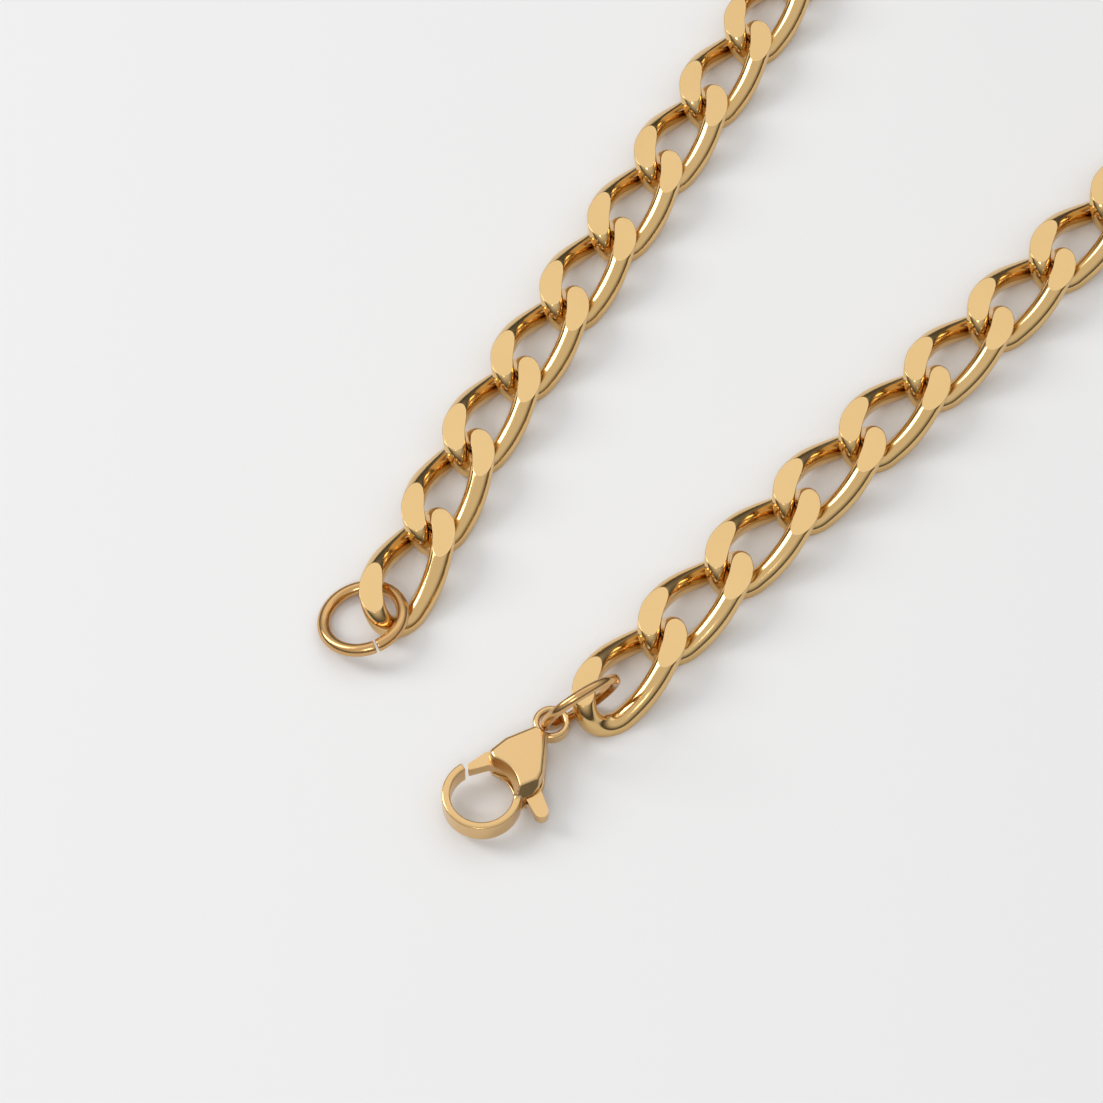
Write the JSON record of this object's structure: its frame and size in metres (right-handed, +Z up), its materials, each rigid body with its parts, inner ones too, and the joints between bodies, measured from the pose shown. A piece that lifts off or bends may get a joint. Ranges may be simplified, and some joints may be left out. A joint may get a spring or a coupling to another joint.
{
  "type": "chain necklace",
  "caption": "Twisted curb-chain necklace of filed oval links with a round jump ring at each end and a lobster clasp with a sprung thumb lever.",
  "frame": {"origin": "middle of the laid-out loop's bounding box, on the surface that it lies on", "axes": "+Y from the two ends towards the round far end of the loop, +Z up from the surface, +X to the side that the clasp is on"},
  "size_m": [0.0826, 0.1748, 0.006],
  "materials": {
    "link_gold": "polished gold plate, the filed flats satin",
    "ring_gold": "polished gold plate, slightly redder",
    "clasp_gold": "polished gold plate over a cast body",
    "pin_gold": "polished gold plate",
    "spring_steel": "plain spring steel"
  },
  "bodies": {
    "link_01": {"link_01": "link_gold"},
    "link_02": {"link_02": "link_gold"},
    "link_03": {"link_03": "link_gold"},
    "link_04": {"link_04": "link_gold"},
    "link_05": {"link_05": "link_gold"},
    "link_06": {"link_06": "link_gold"},
    "link_07": {"link_07": "link_gold"},
    "link_08": {"link_08": "link_gold"},
    "link_09": {"link_09": "link_gold"},
    "link_10": {"link_10": "link_gold"},
    "link_11": {"link_11": "link_gold"},
    "link_12": {"link_12": "link_gold"},
    "link_13": {"link_13": "link_gold"},
    "link_14": {"link_14": "link_gold"},
    "link_15": {"link_15": "link_gold"},
    "link_16": {"link_16": "link_gold"},
    "link_17": {"link_17": "link_gold"},
    "link_18": {"link_18": "link_gold"},
    "link_19": {"link_19": "link_gold"},
    "link_20": {"link_20": "link_gold"},
    "link_21": {"link_21": "link_gold"},
    "link_22": {"link_22": "link_gold"},
    "link_23": {"link_23": "link_gold"},
    "link_24": {"link_24": "link_gold"},
    "link_25": {"link_25": "link_gold"},
    "link_26": {"link_26": "link_gold"},
    "link_27": {"link_27": "link_gold"},
    "link_28": {"link_28": "link_gold"},
    "link_29": {"link_29": "link_gold"},
    "link_30": {"link_30": "link_gold"},
    "link_31": {"link_31": "link_gold"},
    "link_32": {"link_32": "link_gold"},
    "link_33": {"link_33": "link_gold"},
    "link_34": {"link_34": "link_gold"},
    "link_35": {"link_35": "link_gold"},
    "link_36": {"link_36": "link_gold"},
    "link_37": {"link_37": "link_gold"},
    "link_38": {"link_38": "link_gold"},
    "link_39": {"link_39": "link_gold"},
    "link_40": {"link_40": "link_gold"},
    "link_41": {"link_41": "link_gold"},
    "link_42": {"link_42": "link_gold"},
    "link_43": {"link_43": "link_gold"},
    "link_44": {"link_44": "link_gold"},
    "link_45": {"link_45": "link_gold"},
    "link_46": {"link_46": "link_gold"},
    "link_47": {"link_47": "link_gold"},
    "link_48": {"link_48": "link_gold"},
    "link_49": {"link_49": "link_gold"},
    "link_50": {"link_50": "link_gold"},
    "link_51": {"link_51": "link_gold"},
    "link_52": {"link_52": "link_gold"},
    "link_53": {"link_53": "link_gold"},
    "link_54": {"link_54": "link_gold"},
    "end_ring": {"end_ring": "ring_gold"},
    "clasp_ring": {"clasp_ring": "ring_gold"},
    "clasp_body": {"clasp_body": "clasp_gold", "lever_pin": "pin_gold", "lever_spring": "spring_steel"},
    "clasp_lever": {"clasp_lever": "clasp_gold"}
  },
  "joints": [
    {"name": "lever_pivot", "type": "hinge", "parent": "clasp_body", "child": "clasp_lever", "pos_m": [0.0105, -0.08153, 0.0014], "axis": [0, 0, 1], "range_deg": [0, 25], "stiffness_Nm_per_rad": 0.008, "springref_deg": -20.05},
    {"name": "clasp_swing", "type": "hinge", "parent": "clasp_ring", "child": "clasp_body", "pos_m": [0.01008, -0.0777, 0.00132], "axis": [0.0362, 0.6666, -0.7446], "range_deg": [-25, 45]},
    {"name": "clasp_ring_swing", "type": "hinge", "parent": "link_54", "child": "clasp_ring", "pos_m": [0.01173, -0.07568, 0.00138], "axis": [0.5583, -0.0312, -0.829], "range_deg": [-20, 40]},
    {"name": "end_ring_swing", "type": "hinge", "parent": "link_01", "child": "end_ring", "pos_m": [-0.00387, -0.07805, 0.00138], "axis": [0.2923, -0.9527, 0.0835], "range_deg": [0, 45]},
    {"name": "link_54_hinge", "type": "hinge", "parent": "link_53", "child": "link_54", "pos_m": [0.01209, -0.06869, 0.00138], "axis": [-0.557, 0.0497, 0.829], "range_deg": [-20, 20]},
    {"name": "link_01_hinge", "type": "hinge", "parent": "link_02", "child": "link_01", "pos_m": [-0.0059, -0.06947, 0.00138], "axis": [-0.5442, -0.1286, -0.829], "range_deg": [-20, 20]},
    {"name": "link_53_hinge", "type": "hinge", "parent": "link_52", "child": "link_53", "pos_m": [0.01287, -0.0599, 0.00138], "axis": [0.557, -0.0497, 0.829], "range_deg": [-20, 20]},
    {"name": "link_02_hinge", "type": "hinge", "parent": "link_03", "child": "link_02", "pos_m": [-0.00729, -0.06447, 0.00138], "axis": [-0.5533, -0.0807, 0.829], "range_deg": [-20, 20]},
    {"name": "link_52_hinge", "type": "hinge", "parent": "link_51", "child": "link_52", "pos_m": [0.01351, -0.05476, 0.00138], "axis": [0.5553, -0.0662, -0.829], "range_deg": [-20, 20]},
    {"name": "link_03_hinge", "type": "hinge", "parent": "link_04", "child": "link_03", "pos_m": [-0.00856, -0.05574, 0.00138], "axis": [0.5533, 0.0807, 0.829], "range_deg": [-20, 20]},
    {"name": "link_51_hinge", "type": "hinge", "parent": "link_50", "child": "link_51", "pos_m": [0.01456, -0.046, 0.00138], "axis": [-0.5553, 0.0662, -0.829], "range_deg": [-20, 20]},
    {"name": "link_04_hinge", "type": "hinge", "parent": "link_05", "child": "link_04", "pos_m": [-0.00915, -0.0506, 0.00138], "axis": [0.5553, 0.0662, -0.829], "range_deg": [-20, 20]},
    {"name": "link_50_hinge", "type": "hinge", "parent": "link_49", "child": "link_50", "pos_m": [0.01517, -0.04086, 0.00138], "axis": [-0.5553, 0.0662, 0.829], "range_deg": [-20, 20]},
    {"name": "link_05_hinge", "type": "hinge", "parent": "link_06", "child": "link_05", "pos_m": [-0.0102, -0.04184, 0.00138], "axis": [-0.5553, -0.0662, -0.829], "range_deg": [-20, 20]},
    {"name": "link_49_hinge", "type": "hinge", "parent": "link_48", "child": "link_49", "pos_m": [0.01622, -0.0321, 0.00138], "axis": [0.5553, -0.0662, 0.829], "range_deg": [-20, 20]},
    {"name": "link_06_hinge", "type": "hinge", "parent": "link_07", "child": "link_06", "pos_m": [-0.01081, -0.0367, 0.00138], "axis": [-0.5553, -0.0662, 0.829], "range_deg": [-20, 20]},
    {"name": "link_48_hinge", "type": "hinge", "parent": "link_47", "child": "link_48", "pos_m": [0.01683, -0.02696, 0.00138], "axis": [0.5553, -0.0662, -0.829], "range_deg": [-20, 20]},
    {"name": "link_07_hinge", "type": "hinge", "parent": "link_08", "child": "link_07", "pos_m": [-0.01185, -0.02794, 0.00138], "axis": [0.5553, 0.0662, 0.829], "range_deg": [-20, 20]},
    {"name": "link_47_hinge", "type": "hinge", "parent": "link_46", "child": "link_47", "pos_m": [0.01787, -0.0182, 0.00138], "axis": [-0.5553, 0.0662, -0.829], "range_deg": [-20, 20]},
    {"name": "link_08_hinge", "type": "hinge", "parent": "link_09", "child": "link_08", "pos_m": [-0.01247, -0.02279, 0.00138], "axis": [0.5553, 0.0662, -0.829], "range_deg": [-20, 20]},
    {"name": "link_46_hinge", "type": "hinge", "parent": "link_45", "child": "link_46", "pos_m": [0.01849, -0.01306, 0.00138], "axis": [-0.5553, 0.0662, 0.829], "range_deg": [-20, 20]},
    {"name": "link_09_hinge", "type": "hinge", "parent": "link_10", "child": "link_09", "pos_m": [-0.01351, -0.01404, 0.00138], "axis": [-0.5553, -0.0662, -0.829], "range_deg": [-20, 20]},
    {"name": "link_45_hinge", "type": "hinge", "parent": "link_44", "child": "link_45", "pos_m": [0.01953, -0.0043, 0.00138], "axis": [0.5553, -0.0662, 0.829], "range_deg": [-20, 20]},
    {"name": "link_10_hinge", "type": "hinge", "parent": "link_11", "child": "link_10", "pos_m": [-0.01401, -0.00887, 0.00138], "axis": [-0.5425, -0.1356, 0.829], "range_deg": [-20, 20]},
    {"name": "link_44_hinge", "type": "hinge", "parent": "link_43", "child": "link_44", "pos_m": [0.02066, 0.00076, 0.00138], "axis": [0.5309, -0.1756, -0.829], "range_deg": [-20, 20]},
    {"name": "link_11_hinge", "type": "hinge", "parent": "link_12", "child": "link_11", "pos_m": [-0.01615, -0.00032, 0.00138], "axis": [0.5425, 0.1356, 0.829], "range_deg": [-20, 20]},
    {"name": "link_43_hinge", "type": "hinge", "parent": "link_42", "child": "link_43", "pos_m": [0.02343, 0.00914, 0.00138], "axis": [-0.5309, 0.1756, -0.829], "range_deg": [-20, 20]},
    {"name": "link_12_hinge", "type": "hinge", "parent": "link_13", "child": "link_12", "pos_m": [-0.01803, 0.00453, 0.00138], "axis": [0.4915, 0.2667, -0.829], "range_deg": [-20, 20]},
    {"name": "link_42_hinge", "type": "hinge", "parent": "link_41", "child": "link_42", "pos_m": [0.02554, 0.01388, 0.00138], "axis": [-0.4852, 0.2779, 0.829], "range_deg": [-20, 20]},
    {"name": "link_13_hinge", "type": "hinge", "parent": "link_14", "child": "link_13", "pos_m": [-0.02224, 0.01228, 0.00138], "axis": [-0.4915, -0.2667, -0.829], "range_deg": [-20, 20]},
    {"name": "link_41_hinge", "type": "hinge", "parent": "link_40", "child": "link_41", "pos_m": [0.02993, 0.02153, 0.00138], "axis": [0.4852, -0.2779, 0.829], "range_deg": [-20, 20]},
    {"name": "link_14_hinge", "type": "hinge", "parent": "link_15", "child": "link_14", "pos_m": [-0.02527, 0.0165, 0.00138], "axis": [-0.4093, -0.381, 0.829], "range_deg": [-20, 20]},
    {"name": "link_40_hinge", "type": "hinge", "parent": "link_39", "child": "link_40", "pos_m": [0.03316, 0.02561, 0.00138], "axis": [0.5059, -0.2382, -0.829], "range_deg": [-20, 20]},
    {"name": "link_15_hinge", "type": "hinge", "parent": "link_16", "child": "link_15", "pos_m": [-0.03128, 0.02295, 0.00138], "axis": [0.4093, 0.381, 0.829], "range_deg": [-20, 20]},
    {"name": "link_39_hinge", "type": "hinge", "parent": "link_38", "child": "link_39", "pos_m": [0.03691, 0.03359, 0.00138], "axis": [-0.5059, 0.2382, -0.829], "range_deg": [-20, 20]},
    {"name": "link_16_hinge", "type": "hinge", "parent": "link_17", "child": "link_16", "pos_m": [-0.03409, 0.02734, 0.00138], "axis": [0.5175, 0.2119, -0.829], "range_deg": [-20, 20]},
    {"name": "link_38_hinge", "type": "hinge", "parent": "link_37", "child": "link_38", "pos_m": [0.03825, 0.03863, 0.00138], "axis": [-0.5574, 0.0442, 0.829], "range_deg": [-20, 20]},
    {"name": "link_17_hinge", "type": "hinge", "parent": "link_18", "child": "link_17", "pos_m": [-0.03743, 0.0355, 0.00138], "axis": [-0.5175, -0.2119, -0.829], "range_deg": [-20, 20]},
    {"name": "link_37_hinge", "type": "hinge", "parent": "link_36", "child": "link_37", "pos_m": [0.03895, 0.04742, 0.00138], "axis": [0.5574, -0.0442, 0.829], "range_deg": [-20, 20]},
    {"name": "link_18_hinge", "type": "hinge", "parent": "link_19", "child": "link_18", "pos_m": [-0.03851, 0.0406, 0.00138], "axis": [-0.559, -0.0155, 0.829], "range_deg": [-20, 20]},
    {"name": "link_36_hinge", "type": "hinge", "parent": "link_35", "child": "link_36", "pos_m": [0.03842, 0.0526, 0.00138], "axis": [0.5371, 0.1555, -0.829], "range_deg": [-20, 20]},
    {"name": "link_19_hinge", "type": "hinge", "parent": "link_20", "child": "link_19", "pos_m": [-0.03875, 0.04942, 0.00138], "axis": [0.559, 0.0155, 0.829], "range_deg": [-20, 20]},
    {"name": "link_35_hinge", "type": "hinge", "parent": "link_34", "child": "link_35", "pos_m": [0.03597, 0.06108, 0.00138], "axis": [-0.5371, -0.1555, -0.829], "range_deg": [-20, 20]},
    {"name": "link_20_hinge", "type": "hinge", "parent": "link_21", "child": "link_20", "pos_m": [-0.03796, 0.05456, 0.00138], "axis": [0.5284, -0.1829, -0.829], "range_deg": [-20, 20]},
    {"name": "link_34_hinge", "type": "hinge", "parent": "link_33", "child": "link_34", "pos_m": [0.03364, 0.06574, 0.00138], "axis": [-0.4476, -0.3352, 0.829], "range_deg": [-20, 20]},
    {"name": "link_21_hinge", "type": "hinge", "parent": "link_22", "child": "link_21", "pos_m": [-0.03508, 0.0629, 0.00138], "axis": [-0.5284, 0.1829, -0.829], "range_deg": [-20, 20]},
    {"name": "link_33_hinge", "type": "hinge", "parent": "link_32", "child": "link_33", "pos_m": [0.02836, 0.0728, 0.00138], "axis": [0.4476, 0.3352, 0.829], "range_deg": [-20, 20]},
    {"name": "link_22_hinge", "type": "hinge", "parent": "link_23", "child": "link_22", "pos_m": [-0.03252, 0.06744, 0.00138], "axis": [-0.4298, 0.3577, 0.829], "range_deg": [-20, 20]},
    {"name": "link_32_hinge", "type": "hinge", "parent": "link_31", "child": "link_32", "pos_m": [0.02453, 0.07634, 0.00138], "axis": [0.3004, 0.4717, -0.829], "range_deg": [-20, 3]},
    {"name": "link_23_hinge", "type": "hinge", "parent": "link_24", "child": "link_23", "pos_m": [-0.02687, 0.07422, 0.00138], "axis": [0.4298, -0.3577, 0.829], "range_deg": [-20, 20]},
    {"name": "link_31_hinge", "type": "hinge", "parent": "link_30", "child": "link_31", "pos_m": [0.0171, 0.08108, 0.00138], "axis": [-0.3004, -0.4717, -0.829], "range_deg": [-20, 20]},
    {"name": "link_24_hinge", "type": "hinge", "parent": "link_25", "child": "link_24", "pos_m": [-0.02288, 0.07756, 0.00138], "axis": [0.2758, -0.4865, -0.829], "range_deg": [-3, 20]},
    {"name": "link_30_hinge", "type": "hinge", "parent": "link_29", "child": "link_30", "pos_m": [0.01227, 0.08304, 0.00138], "axis": [-0.1144, -0.5474, 0.829], "range_deg": [-3, 20]},
    {"name": "link_25_hinge", "type": "hinge", "parent": "link_26", "child": "link_25", "pos_m": [-0.0152, 0.08191, 0.00138], "axis": [-0.2758, 0.4865, -0.829], "range_deg": [-20, 20]},
    {"name": "link_29_hinge", "type": "hinge", "parent": "link_28", "child": "link_29", "pos_m": [0.00364, 0.08485, 0.00138], "axis": [0.1144, 0.5474, 0.829], "range_deg": [-3, 20]},
    {"name": "link_26_hinge", "type": "hinge", "parent": "link_27", "child": "link_26", "pos_m": [-0.01029, 0.08362, 0.00138], "axis": [-0.0862, 0.5525, 0.829], "range_deg": [-20, 3]},
    {"name": "link_28_hinge", "type": "hinge", "parent": "link_27", "child": "link_28", "pos_m": [-0.00157, 0.08498, 0.00138], "axis": [-0.0862, 0.5525, -0.829], "range_deg": [-20, 3]}
  ]
}
